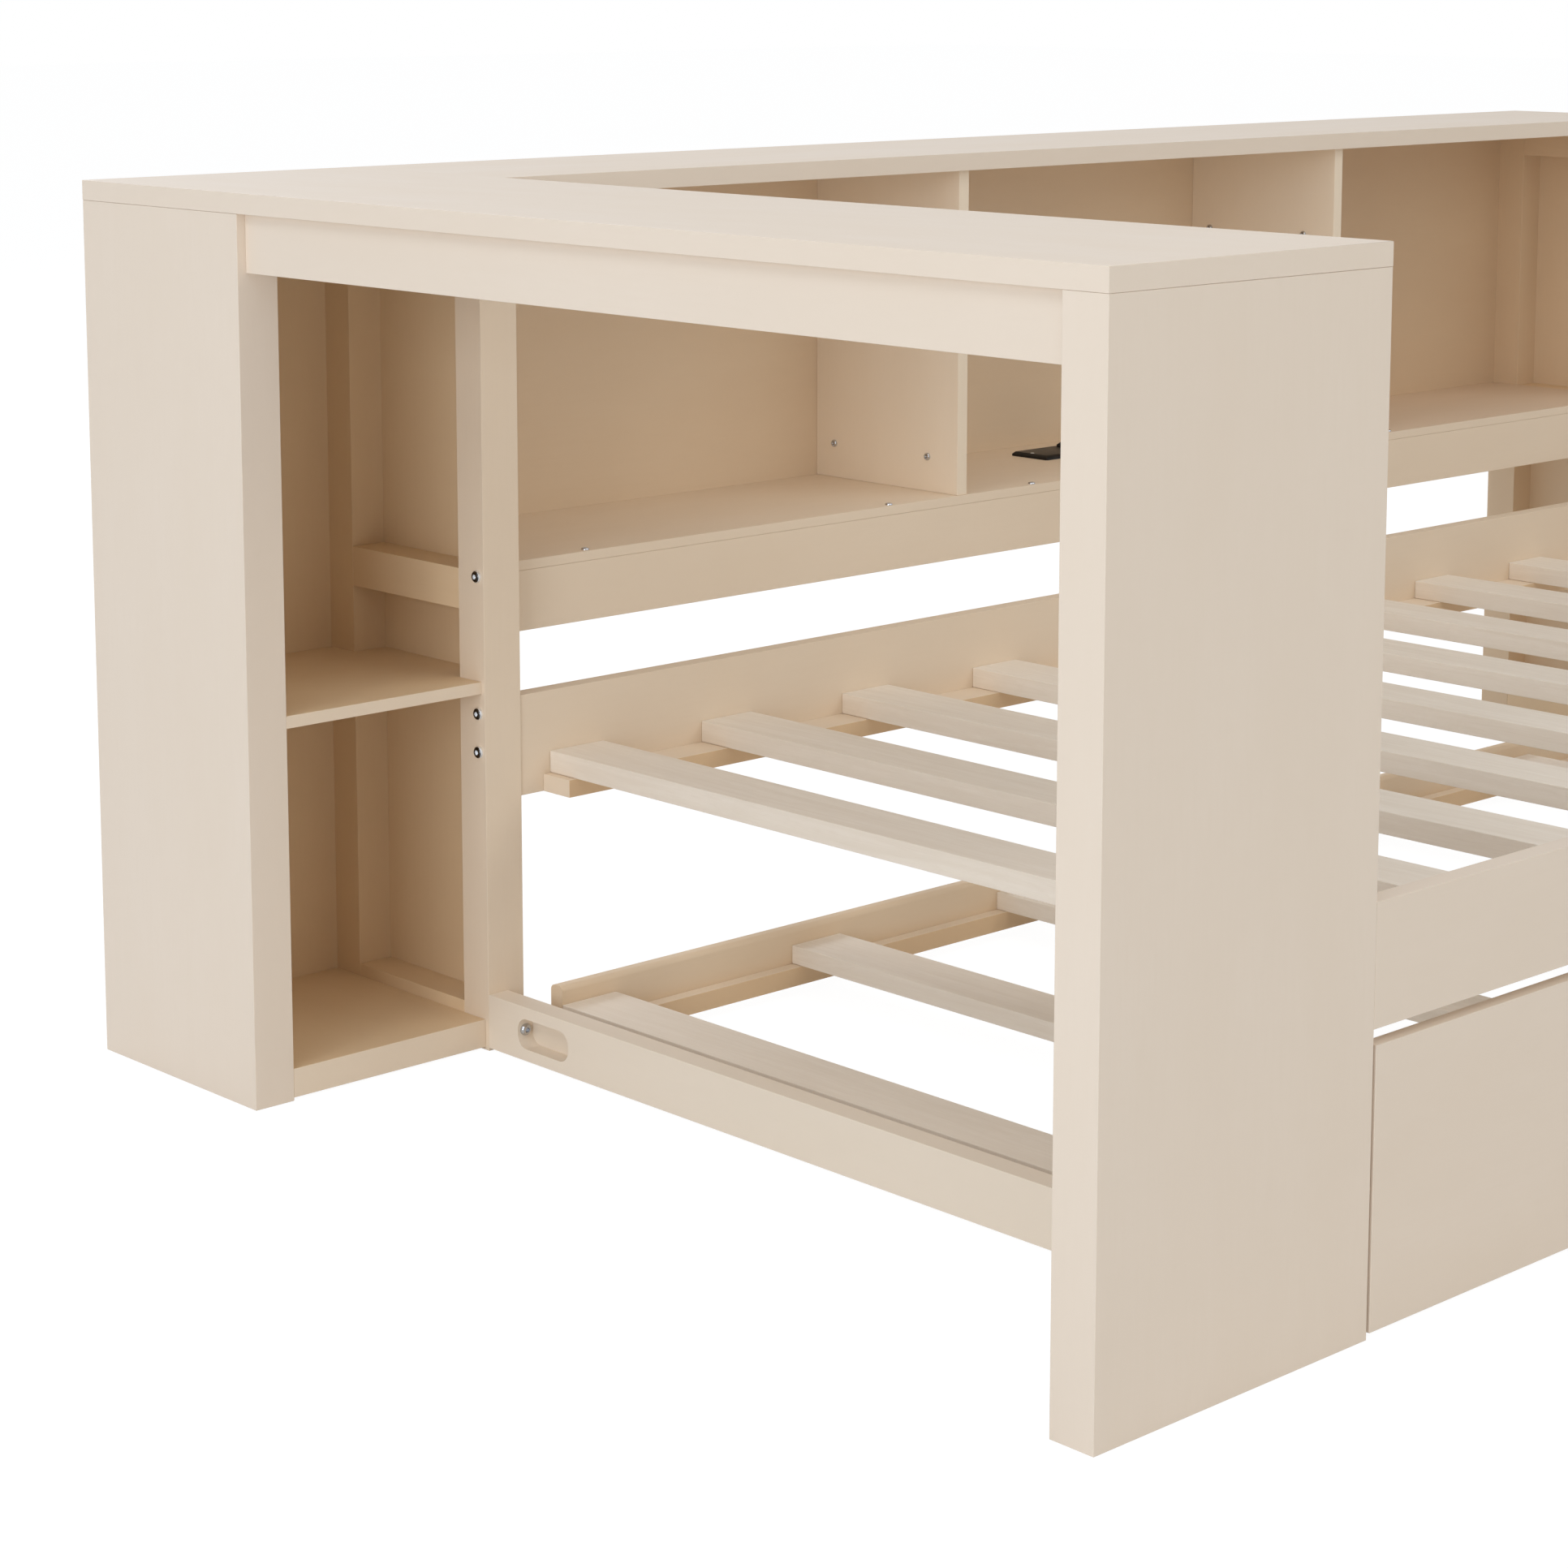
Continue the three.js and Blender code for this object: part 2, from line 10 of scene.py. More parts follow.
import bmesh
import bpy
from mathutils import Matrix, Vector


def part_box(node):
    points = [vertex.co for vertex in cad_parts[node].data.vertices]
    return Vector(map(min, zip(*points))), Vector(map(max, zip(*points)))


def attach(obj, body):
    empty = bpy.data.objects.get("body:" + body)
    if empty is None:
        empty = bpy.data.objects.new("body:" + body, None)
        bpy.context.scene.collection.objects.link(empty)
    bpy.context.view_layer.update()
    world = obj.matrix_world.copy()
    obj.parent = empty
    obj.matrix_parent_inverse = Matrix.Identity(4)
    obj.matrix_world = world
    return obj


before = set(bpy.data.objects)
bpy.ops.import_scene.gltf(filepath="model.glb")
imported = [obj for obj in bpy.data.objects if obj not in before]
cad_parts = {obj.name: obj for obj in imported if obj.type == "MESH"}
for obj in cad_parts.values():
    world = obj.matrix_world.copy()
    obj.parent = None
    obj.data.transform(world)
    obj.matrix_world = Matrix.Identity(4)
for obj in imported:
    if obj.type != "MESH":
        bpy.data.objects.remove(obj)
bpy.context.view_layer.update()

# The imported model's own materials keep out of the way of the names given here
for imported in list(bpy.data.materials):
    imported.name = "packed_" + imported.name

MM = 0.001

TOWARDS_DESK_END = (-1, 0, 0)
TOWARDS_FOOT_END = (1, 0, 0)
TOWARDS_FRONT = (0, -1, 0)
UP = (0, 0, 1)
DOWN = (0, 0, -1)
OUTWARD = Vector((1, 1, 0)).normalized()

# The corners of a rectangle, in order round it
CORNER_SIGNS = ((1, 1), (-1, 1), (-1, -1), (1, -1))

# Camera: the photograph's view. The photograph's upright lines are upright, from a level
# camera with a large shift. This one takes part of that as tilt, so that its shift is small.
CAMERA_PLACE = Vector((-2.9195, -2.2230, 1.0530))
CAMERA_AZIMUTH = math.radians(46.96)
CAMERA_TILT = math.radians(8.26)
CAMERA_SENSOR = 36.0
CAMERA_LENS = 80.29
CAMERA_SHIFT_UP = -0.2

# Studio light: a soft sky, brighter in reflections than as a light, a white floor that throws
# the light back up, and large softboxes all round. Each softbox has its azimuth in degrees,
# from the desk end round by the front, its elevation in degrees, its watts and its tint.
SKY_RADIANCE = 0.318
SKY_MIRRORED = 0.70
SKY_TINT = (1.0, 1.03, 1.08)
COOL = (1.0, 1.06, 1.13)
COOL_LOW = (0.97, 1.045, 1.125)
COOLISH = (1.0, 1.03, 1.07)
COOLEST = (1.0, 1.08, 1.20)
WARMISH = (1.0, 0.99, 0.925)
SOFTBOXES = {
    "softbox_desk_end_high": (0, 42, 71, COOL),
    "softbox_desk_end_low": (20, 8, 100, COOL_LOW),
    "softbox_corner": (40, 42, 28, COOLISH),
    "softbox_front_high": (60, 60, 40, WARMISH),
    "softbox_front": (100, 25, 43, WARMISH),
    "softbox_foot_corner": (130, 42, 48, WARMISH),
    "softbox_back": (270, 35, 123, COOLEST),
    "softbox_above": (0, 90, 26, COOLEST),
}
SOFTBOX_SIZE = 2.8
SOFTBOX_DISTANCE = 7.0
SOFTBOX_LOWEST = 1.45
SOFTBOX_AIM = Vector((0, 0, 0.4))

# Backdrop: white as the camera sees it, with a trace of shadow on the floor, while the light
# that the floor throws on the object is that of a plain white board
WHITE = (1, 1, 1, 1)
BACKDROP_RADIANCE = 1.0
FLOOR_SEEN = (0.12, 0.12, 0.12, 1)
FLOOR_SEEN_GLOW = 0.955
FLOOR_BOUNCE = (0.80, 0.80, 0.80, 1)
FLOOR_BOUNCE_GLOW = 0.085
FLOOR_HALF = 30.0
FLOOR_DROP = 0.5 * MM

# Shades of the one cream paint, as linear colours, each from the lightest to the darkest of
# its clouds. Only the outer shade is the cream as it is. The others are lit and shaded copies
# of it, painted light and shade: the divider and stretcher shades are painted light, and the
# rail, inner, deep, foot, ledger and last-bay shades are painted shade, browner the deeper a
# board lies inside.
PAINTS = {
    "outer": ((0.828, 0.700, 0.572, 1), (0.812, 0.682, 0.550, 1)),
    # Painted light: the dividers' cream, made lighter where they catch the light
    "divider": ((0.885, 0.740, 0.572, 1), (0.870, 0.722, 0.550, 1)),
    "rail": ((0.846, 0.694, 0.530, 1), (0.829, 0.674, 0.508, 1)),
    "inner": ((0.824, 0.646, 0.456, 1), (0.806, 0.624, 0.434, 1)),
    "deep": ((0.820, 0.614, 0.391, 1), (0.802, 0.592, 0.369, 1)),
    "foot": ((0.800, 0.612, 0.414, 1), (0.782, 0.590, 0.392, 1)),
    # Painted shade: the fronts of the ledgers, darker deep under the slats
    "ledger": ((0.780, 0.555, 0.338, 1), (0.762, 0.533, 0.316, 1)),
    # Painted light: the stretcher's cream, made lighter under the desk
    "stretcher": ((0.866, 0.742, 0.600, 1), (0.850, 0.724, 0.578, 1)),
    # Painted shade: the last bay's back and shelf top, deeper than the other bays
    "last_back": ((0.750, 0.560, 0.370, 1), (0.734, 0.540, 0.353, 1)),
    "last_shelf": ((0.780, 0.610, 0.452, 1), (0.764, 0.592, 0.434, 1)),
}
PAINTS["back"] = PAINTS["inner"]
PAINTS["shelf"] = PAINTS["rail"]

# In the bookcase's last bay, past the right divider, these paints are deeper: painted shade, for
# the lesser light inside that bay
LAST_BAY_SHADE = {"back": "last_back", "shelf": "last_shelf"}

# Faces turn to their own paint as their normal's share along the given way grows so far
FACING_SHARE = (0.5, 0.65)

PAINT_CLOUD = 90 * MM
PAINT_GRAIN = 4 * MM
PAINT_ROUGHNESS = (0.48, 0.58)
ORANGE_PEEL = 1.6 * MM
ORANGE_PEEL_DEPTH = 0.02 * MM

# The grain is this many times longer along the board than across it, and the clouds are
# longer by this power of that
GRAIN_STRETCH = 14
CLOUD_STRETCH = 0.4

# Bare wood: its linear colours, and how wide its markings are
WOOD_LIGHT = (0.905, 0.806, 0.686, 1)
WOOD_DARK = (0.845, 0.737, 0.611, 1)
WOOD_PORE = (0.77, 0.655, 0.525, 1)
WOOD_ROUGHNESS = (0.60, 0.72)
WOOD_STREAK = 11 * MM
WOOD_FIGURE = 14 * MM
WOOD_SLOW_CHANGE = 350 * MM
PORE = 1.3 * MM
PORE_DEPTH = 0.05 * MM

# Turned pieces: points round a round head and a small round, and the sharpest edge that is
# still shaded smooth
HEAD_SIDES = 36
SMALL_SIDES = 24
SMOOTH_UP_TO = math.radians(40)


# Node material helpers


def material(name, **shader):
    """A new node material, with its Principled shader's own sockets set by name.
    Returns the material, its node tree and the shader."""
    made = bpy.data.materials.new(name)
    made.use_nodes = True
    tree = made.node_tree
    principled = tree.nodes["Principled BSDF"]
    for socket, value in shader.items():
        principled.inputs[socket.replace("_", " ")].default_value = value
    return made, tree, principled


def node(tree, kind, inputs=None, **settings):
    """A node of that kind. An input, by name or number, is a value or another node's output."""
    made = tree.nodes.new(kind)
    for name, value in settings.items():
        setattr(made, name, value)
    for key, value in (inputs or {}).items():
        if isinstance(value, bpy.types.NodeSocket):
            tree.links.new(value, made.inputs[key])
        else:
            made.inputs[key].default_value = value
    return made


def object_space(tree):
    return node(tree, "ShaderNodeTexCoord").outputs["Object"]


def noise(tree, place, size, stretch=(1, 1, 1), detail=2.0, roughness=0.5, distortion=0.0):
    """Noise from 0 to 1 with features about size metres across, times stretch along each axis"""
    scale = [1 / (size * s) for s in stretch]
    sized = node(tree, "ShaderNodeMapping", {"Vector": place, "Scale": scale})
    inputs = {
        "Vector": sized.outputs["Vector"],
        "Scale": 1.0,
        "Detail": detail,
        "Roughness": roughness,
        "Distortion": distortion,
    }
    return node(tree, "ShaderNodeTexNoise", inputs).outputs["Fac"]


def remap(tree, value, low, high, to_low=0.0, to_high=1.0):
    """Value spread from low to high over to_low to to_high, and held at both ends"""
    ends = {"From Min": low, "From Max": high, "To Min": to_low, "To Max": to_high}
    return node(tree, "ShaderNodeMapRange", {"Value": value, **ends}).outputs["Result"]


# The colour mix node's sockets, by number
MIX_FACTOR, MIX_FIRST, MIX_SECOND, MIX_COLOUR = 0, 6, 7, 2


def mix(tree, amount, first, second):
    """The first colour turned into the second by amount"""
    inputs = {MIX_FACTOR: amount, MIX_FIRST: first, MIX_SECOND: second}
    return node(tree, "ShaderNodeMix", inputs, data_type="RGBA").outputs[MIX_COLOUR]


def bump(tree, shader, height, depth, strength):
    """Relief of that depth in metres on the shader's normal"""
    made = node(tree, "ShaderNodeBump", {"Height": height, "Distance": depth, "Strength": strength})
    tree.links.new(made.outputs["Normal"], shader.inputs["Normal"])


# Finishes


def painted(name, paint, stretch, facing, facing_paint):
    """Satin furniture paint: faintly cloudy, with an uneven sheen, a trace of the grain under
    it along stretch, and a fine orange peel. Faces that look along facing have their own paint:
    a lighter or darker copy of the cream, painted light and shade."""
    made, tree, shader = material(name, Specular_IOR_Level=0.45)
    coordinates = node(tree, "ShaderNodeTexCoord").outputs
    place = coordinates["Object"]
    cloud_stretch = [s**CLOUD_STRETCH for s in stretch]
    clouds = noise(tree, place, PAINT_CLOUD, cloud_stretch, detail=4.0, roughness=0.6)
    grain = noise(tree, place, PAINT_GRAIN, stretch, detail=2.0, roughness=0.6)
    streaks = remap(tree, grain, 0.45, 0.75, 0.0, 0.5)
    darkened = remap(tree, streaks, 0.0, 1.0, remap(tree, clouds, 0.30, 0.70), 1.0)

    def shade(chosen):
        """A paint between its light and its dark, with painted shade that makes it deeper in the
        last bay where it has that
        """
        plain = mix(tree, darkened, *PAINTS[chosen])
        if chosen not in LAST_BAY_SHADE:
            return plain
        low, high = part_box("divider_right")
        x = node(tree, "ShaderNodeSeparateXYZ", {"Vector": place}).outputs["X"]
        deeper = mix(tree, darkened, *PAINTS[LAST_BAY_SHADE[chosen]])
        return mix(tree, remap(tree, x, low.x, high.x), plain, deeper)

    colour = shade(paint)
    if facing_paint != paint:
        looks = node(
            tree,
            "ShaderNodeVectorMath",
            {0: coordinates["Normal"], 1: facing},
            operation="DOT_PRODUCT",
        ).outputs["Value"]
        colour = mix(tree, remap(tree, looks, *FACING_SHARE), colour, shade(facing_paint))
    tree.links.new(colour, shader.inputs["Base Color"])
    sheen = remap(tree, clouds, 0.3, 0.7, *PAINT_ROUGHNESS)
    tree.links.new(sheen, shader.inputs["Roughness"])
    peel = noise(tree, place, ORANGE_PEEL, detail=1.0)
    bump(tree, shader, peel, ORANGE_PEEL_DEPTH, strength=0.4)
    return made


def bare_wood(name):
    """Pale planed wood: streaks and a curly figure along Y, open pores, and a slow change from
    slat to slat"""
    made, tree, shader = material(name, Specular_IOR_Level=0.45)
    place = object_space(tree)
    streaks = noise(tree, place, WOOD_STREAK, (1, 16, 1), 4.0, roughness=0.62, distortion=0.8)
    figure = noise(tree, place, WOOD_FIGURE, (1, 4, 1), 4.0, roughness=0.7, distortion=2.5)
    pores = noise(tree, place, PORE, (1, 26, 1), detail=2.0)
    slow = noise(tree, place, WOOD_SLOW_CHANGE, (1, 3, 1), detail=1.0)
    colour = mix(tree, remap(tree, streaks, 0.35, 0.65), WOOD_LIGHT, WOOD_DARK)
    colour = mix(tree, remap(tree, figure, 0.50, 0.64, 0.0, 0.5), colour, WOOD_DARK)
    colour = mix(tree, remap(tree, pores, 0.58, 0.80, 0.0, 0.35), colour, WOOD_PORE)
    colour = mix(tree, remap(tree, slow, 0.35, 0.65, 0.0, 0.3), colour, WOOD_DARK)
    tree.links.new(colour, shader.inputs["Base Color"])
    sheen = remap(tree, pores, 0.3, 0.7, *WOOD_ROUGHNESS)
    tree.links.new(sheen, shader.inputs["Roughness"])
    bump(tree, shader, pores, PORE_DEPTH, strength=0.5)
    return made


def plastic(name, colour, roughness, specular=0.5):
    """Moulded plastic with a fine spark texture"""
    made, tree, shader = material(name, Base_Color=colour, Specular_IOR_Level=specular)
    spark = noise(tree, object_space(tree), size=0.4 * MM)
    spread = 0.06
    uneven = remap(tree, spark, 0.3, 0.7, roughness - spread, roughness + spread)
    tree.links.new(uneven, shader.inputs["Roughness"])
    bump(tree, shader, spark, depth=0.02 * MM, strength=0.5)
    return made


def plated(name, colour, roughness):
    """Plated steel, its polish slightly uneven"""
    made, tree, shader = material(name, Base_Color=colour, Metallic=1.0)
    smear = noise(tree, object_space(tree), 1.7 * MM, (1, 1, 3), detail=3.0)
    uneven = remap(tree, smear, 0.3, 0.7, 0.8 * roughness, 1.3 * roughness)
    tree.links.new(uneven, shader.inputs["Roughness"])
    return made


WOOD = bare_wood("bare_slat")
BLACK = plastic("black_plastic", (0.006, 0.006, 0.007, 1), 0.38, specular=0.22)
PALE = plastic("pale_plastic", (0.66, 0.66, 0.65, 1), 0.40)
ZINC = plated("zinc_steel", (0.56, 0.57, 0.59, 1), 0.16)
DARK_STEEL = plated("dark_steel", (0.085, 0.082, 0.080, 1), 0.10)
# A pale steel whose brightness is a painted highlight, for the post bolts' rims and sockets
HIGHLIGHT_STEEL = plated("bright_steel", (0.86, 0.87, 0.88, 1), 0.42)
NYLON = plastic("caster_nylon", (0.045, 0.046, 0.048, 1), 0.48)


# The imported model's nodes

# The first of these that a node's name holds says its finish, and the rest are outer boards
FINISHES = {
    "slat": WOOD,
    "power_hub": BLACK,
    "caster_bracket": ZINC,
    "caster_wheel": NYLON,
    "bookcase_back_panel": "back",
    "trundle_back_rail": "inner",
    "ledger": "ledger",
    # Painted shade on the cabinet's shelf and floor, with their front edges lighter as painted
    # light
    "cabinet_shelf": "lipped",
    "cabinet_floor": "lipped",
    "cabinet_back_panel": "deep",
    "foot_frame_panel": "foot",
    "foot_back_post": "foot",
    "foot_top_rail": "foot",
    "frame_panel": "deep",
    "middle_rail": "deep",
    "bottom_rail": "deep",
    "top_rail": "deep",
    "back_post": "deep",
    "bookcase_shelf": "shelf",
    "bookcase_front_rail": "rail",
    "front_post": "rail",
    "bed_back_rail": "rail",
    "end_rail": "rail",
    "divider": "divider",
    "head_stretcher": "stretcher",
}

# The paint of a painted finish, which way the faces look that have another paint, and that
# paint. What looks out to the back or the foot end is an outer face, in the cream itself, while
# the faces turned in keep their painted shade. The cabinet's shelf and floor have lighter
# front edges, painted light where the light reaches into the cabinet, and the fronts of the
# ledgers are darker, painted shade under the slats.
PAINT_JOBS = {
    "outer": ("outer", OUTWARD, "outer"),
    "divider": ("divider", OUTWARD, "divider"),
    "rail": ("rail", OUTWARD, "outer"),
    "inner": ("inner", OUTWARD, "outer"),
    "back": ("back", OUTWARD, "outer"),
    "shelf": ("rail", UP, "shelf"),
    "stretcher": ("stretcher", OUTWARD, "outer"),
    "deep": ("deep", OUTWARD, "outer"),
    "foot": ("foot", OUTWARD, "outer"),
    "lipped": ("deep", TOWARDS_FRONT, "rail"),
    "ledger": ("rail", TOWARDS_FRONT, "ledger"),
}


def paint_for(finish, low, high):
    """A painted finish as a material, with its grain along the longest side of the box"""
    sides = high - low
    along = max(range(3), key=lambda i: sides[i])
    name = f"painted_{finish}_{'xyz'[along]}"
    if name in bpy.data.materials:
        return bpy.data.materials[name]
    paint, facing, facing_paint = PAINT_JOBS[finish]
    stretch = [GRAIN_STRETCH if i == along else 1 for i in range(3)]
    return painted(name, paint, stretch, facing, facing_paint)


def finish_of(name):
    """The material of a node, by its name"""
    finish = next((finish for part, finish in FINISHES.items() if part in name), "outer")
    return paint_for(finish, *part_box(name)) if isinstance(finish, str) else finish


def smoothing(name, sharpest):
    """Geometry nodes that join a node's split faces again and shade it smooth, except over
    edges that turn by more than sharpest radians"""
    group = bpy.data.node_groups.new(name, "GeometryNodeTree")
    group.interface.new_socket("Geometry", in_out="INPUT", socket_type="NodeSocketGeometry")
    group.interface.new_socket("Geometry", in_out="OUTPUT", socket_type="NodeSocketGeometry")
    start = node(group, "NodeGroupInput").outputs[0]
    bare = node(group, "GeometryNodeRemoveAttribute", {"Geometry": start, "Name": "custom_normal"})
    same_point = 0.001 * MM
    joined = {"Geometry": bare.outputs[0], "Distance": same_point}
    whole = node(group, "GeometryNodeMergeByDistance", joined)
    shaded = {"Geometry": whole.outputs[0], "Shade Smooth": True}
    smooth = node(group, "GeometryNodeSetShadeSmooth", shaded)
    angle = node(group, "GeometryNodeInputMeshEdgeAngle").outputs["Unsigned Angle"]
    turns = node(
        group,
        "FunctionNodeCompare",
        {0: angle, 1: sharpest},
        data_type="FLOAT",
        operation="GREATER_THAN",
    )
    crisp = node(
        group,
        "GeometryNodeSetShadeSmooth",
        {"Geometry": smooth.outputs[0], "Selection": turns.outputs[0], "Shade Smooth": False},
        domain="EDGE",
    )
    node(group, "NodeGroupOutput", {0: crisp.outputs[0]})
    return group


def dress_nodes():
    """Every node's finish and shading"""
    group = smoothing("smooth_but_crisp", sharpest=math.radians(55))
    for name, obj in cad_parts.items():
        obj.data.materials.clear()
        obj.data.materials.append(finish_of(name))
        obj.modifiers.new("smooth", "NODES").node_group = group
        obj.modifiers.new("flats", "WEIGHTED_NORMAL").keep_sharp = True


# New pieces


def place_piece(name, mesh, finish, body, place, turn=None):
    """A mesh at a place, its own Z turned to look along turn, riding on a body. The finish is
    for a mesh that has none yet."""
    obj = bpy.data.objects.new(name, mesh)
    bpy.context.scene.collection.objects.link(obj)
    if not mesh.materials:
        mesh.materials.append(finish)
    obj.location = place
    if turn is not None:
        obj.rotation_mode = "QUATERNION"
        obj.rotation_quaternion = Vector(turn).to_track_quat("Z", "Y")
    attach(obj, body)
    return obj


def turned(name, angles, rings, second_finish=()):
    """A closed mesh from rings of points, each ring a height and a radius at every angle.
    The first and last rings are capped. The band over each ring numbered in second_finish
    takes the mesh's second material."""
    bm = bmesh.new()
    loops = []
    for height, radius in rings:
        points = [(radius(a) * math.cos(a), radius(a) * math.sin(a), height) for a in angles]
        loops.append([bm.verts.new(point) for point in points])
    count = len(angles)
    for band, (below, above) in enumerate(zip(loops, loops[1:])):
        for i in range(count):
            j = (i + 1) % count
            face = bm.faces.new((below[i], below[j], above[j], above[i]))
            face.material_index = int(band in second_finish)
    bm.faces.new(list(reversed(loops[0])))
    bm.faces.new(loops[-1]).material_index = int(len(loops) - 1 in second_finish)
    bmesh.ops.recalc_face_normals(bm, faces=bm.faces)
    for face in bm.faces:
        face.smooth = True
    for edge in bm.edges:
        edge.smooth = edge.calc_face_angle(0) < SMOOTH_UP_TO
    mesh = bpy.data.meshes.new(name)
    bm.to_mesh(mesh)
    bm.free()
    return mesh


def circle(radius):
    return lambda angle: radius


def hexagon(across_flats):
    """Radius of a hexagon at an angle, with its corners at multiples of 60 degrees"""
    side = math.radians(60)
    return lambda angle: across_flats / 2 / math.cos(angle % side - side / 2)


def cross(half_width, half_length):
    """Radius of a cross recess at an angle"""

    def radius(angle):
        turn = abs((angle + math.pi / 4) % (math.pi / 2) - math.pi / 4)
        allowance = 1e-6
        corner = math.atan2(half_width, half_length) + allowance
        return half_length / math.cos(turn) if turn <= corner else half_width / math.sin(turn)

    return radius


def even_angles(count):
    return [2 * math.pi * i / count for i in range(count)]


def dome(diameter, height, inner, steps=5):
    """Rings of a round head, from its seat up to where a recess of radius inner begins"""
    outer = diameter / 2
    rim = 0.12
    rings = [(0.0, circle(outer)), (rim * height, circle(outer))]
    for i in range(1, steps + 1):
        angle = i / steps * math.pi / 2
        up = height * (rim + (1 - rim) * math.sin(angle))
        rings.append((up, circle(outer + (inner - outer) * (1 - math.cos(angle)))))
    return rings


def button_bolt(name, diameter, height, across_flats, depth, second_finish=()):
    """Button head with a hexagon socket, its edge broken and its sides slightly tapered"""
    rim = across_flats / 2 * 1.22
    broken_edge = 0.1 * MM
    rings = dome(diameter, height, rim)
    rings += [
        (height, circle(rim * 0.99)),
        (height - broken_edge, hexagon(across_flats)),
        (height - depth, hexagon(across_flats * 0.98)),
    ]
    return turned(name, even_angles(HEAD_SIDES), rings, second_finish)


def pan_screw(name, diameter, height, depth):
    """Pan head with a cross recess that narrows to its floor"""
    half_width, half_length = 0.09 * diameter, 0.30 * diameter
    corner = math.atan2(half_width, half_length)
    between = [math.radians(a) for a in (30, 45, 60)]
    quarter = (0.0, corner, *between, math.pi / 2 - corner)
    angles = [q * math.pi / 2 + a for q in range(4) for a in quarter]
    rings = dome(diameter, height, half_length * 1.25, steps=4)
    rings += [
        (height, cross(half_width, half_length)),
        (height - depth, cross(half_width * 0.7, half_length * 0.55)),
    ]
    return turned(name, angles, rings)


def pierced_plate(name, outline, holes, thickness):
    """A flat plate of that thickness, from z = 0 up, with its holes right through"""
    bm = bmesh.new()
    for loop in [outline, *holes]:
        verts = [bm.verts.new((x, y, 0)) for x, y in loop]
        for a, b in zip(verts, verts[1:] + verts[:1]):
            bm.edges.new((a, b))
    bmesh.ops.triangle_fill(bm, use_beauty=True, edges=bm.edges[:])
    raised = bmesh.ops.extrude_face_region(bm, geom=bm.faces[:])
    bmesh.ops.translate(
        bm,
        vec=(0, 0, thickness),
        verts=[g for g in raised["geom"] if isinstance(g, bmesh.types.BMVert)],
    )
    bmesh.ops.recalc_face_normals(bm, faces=bm.faces)
    mesh = bpy.data.meshes.new(name)
    bm.to_mesh(mesh)
    bm.free()
    return mesh


def rounded_outline(width, length, radius, middle=(0, 0), steps=5):
    """Points round a rectangle with rounded corners"""
    points = []
    for quarter, (sx, sy) in enumerate(CORNER_SIGNS):
        cx = middle[0] + sx * (width / 2 - radius)
        cy = middle[1] + sy * (length / 2 - radius)
        for i in range(steps + 1):
            angle = (quarter + i / steps) * math.pi / 2
            points.append((cx + radius * math.cos(angle), cy + radius * math.sin(angle)))
    return points


# Fasteners. Each place is measured from the faces of the nodes that carry it.


def post_bolts():
    """Three bolts through each front post: one into the bookcase's rail, two into the bed's
    back rail. Their rims and sockets are a bright steel, a painted highlight for the lamps'
    reflections."""
    # The bands of the rim and the socket walls, which take the bright steel as a painted highlight
    highlight_bands = (0, 1, 2, 8, 9)
    bolt = button_bolt(
        "post_bolt",
        diameter=12.4 * MM,
        height=3.6 * MM,
        across_flats=4.5 * MM,
        depth=2.2 * MM,
        second_finish=highlight_bands,
    )
    bolt.materials.append(DARK_STEEL)
    bolt.materials.append(HIGHLIGHT_STEEL)
    from_front = 10 * MM
    rail_low, rail_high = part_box("bed_back_rail")
    _, shelf_rail_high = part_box("bookcase_front_rail")
    heights = {
        "upper": shelf_rail_high.z + 4 * MM,
        "middle": rail_high.z - 13 * MM,
        "lower": rail_low.z + 49 * MM,
    }
    for end, turn in (("head", TOWARDS_DESK_END), ("foot", TOWARDS_FOOT_END)):
        low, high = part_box(f"{end}_front_post")
        x = low.x if end == "head" else high.x
        for level, z in heights.items():
            place = (x, low.y + from_front, z)
            name = f"{end}_post_bolt_{level}"
            place_piece(name, bolt, DARK_STEEL, "bed_frame", place, turn)


def divider_screws():
    """Four screws in the desk side of each divider"""
    screw = pan_screw("divider_screw", diameter=8.4 * MM, height=2.4 * MM, depth=1.6 * MM)
    for divider in ("divider_left", "divider_right"):
        low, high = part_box(divider)
        for depth, y in (("front", low.y + 46 * MM), ("back", high.y - 29 * MM)):
            for level, z in (("low", low.z + 38.5 * MM), ("high", low.z + 249.5 * MM)):
                place = (low.x, y, z)
                name = f"{divider}_screw_{depth}_{level}"
                place_piece(name, screw, ZINC, "bed_frame", place, TOWARDS_DESK_END)


def shelf_screws():
    """Screws through the bookcase shelf into the rail under its front edge, two to a bay"""
    screw = pan_screw("shelf_screw", diameter=8.2 * MM, height=1.8 * MM, depth=1.2 * MM)
    from_near, from_far = 110 * MM, 100 * MM
    low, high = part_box("bookcase_shelf")
    rail_low, rail_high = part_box("bookcase_front_rail")
    left_low, left_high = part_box("divider_left")
    right_low, right_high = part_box("divider_right")
    bays = ((low.x, left_low.x), (left_high.x, right_low.x), (right_high.x, high.x))
    for i, (near, far) in enumerate(bays):
        for side, x in (("near", near + from_near), ("far", far - from_far)):
            place = (x, (rail_low.y + rail_high.y) / 2, high.z)
            name = f"shelf_screw_{i + 1}_{side}"
            place_piece(name, screw, ZINC, "bed_frame", place, UP)


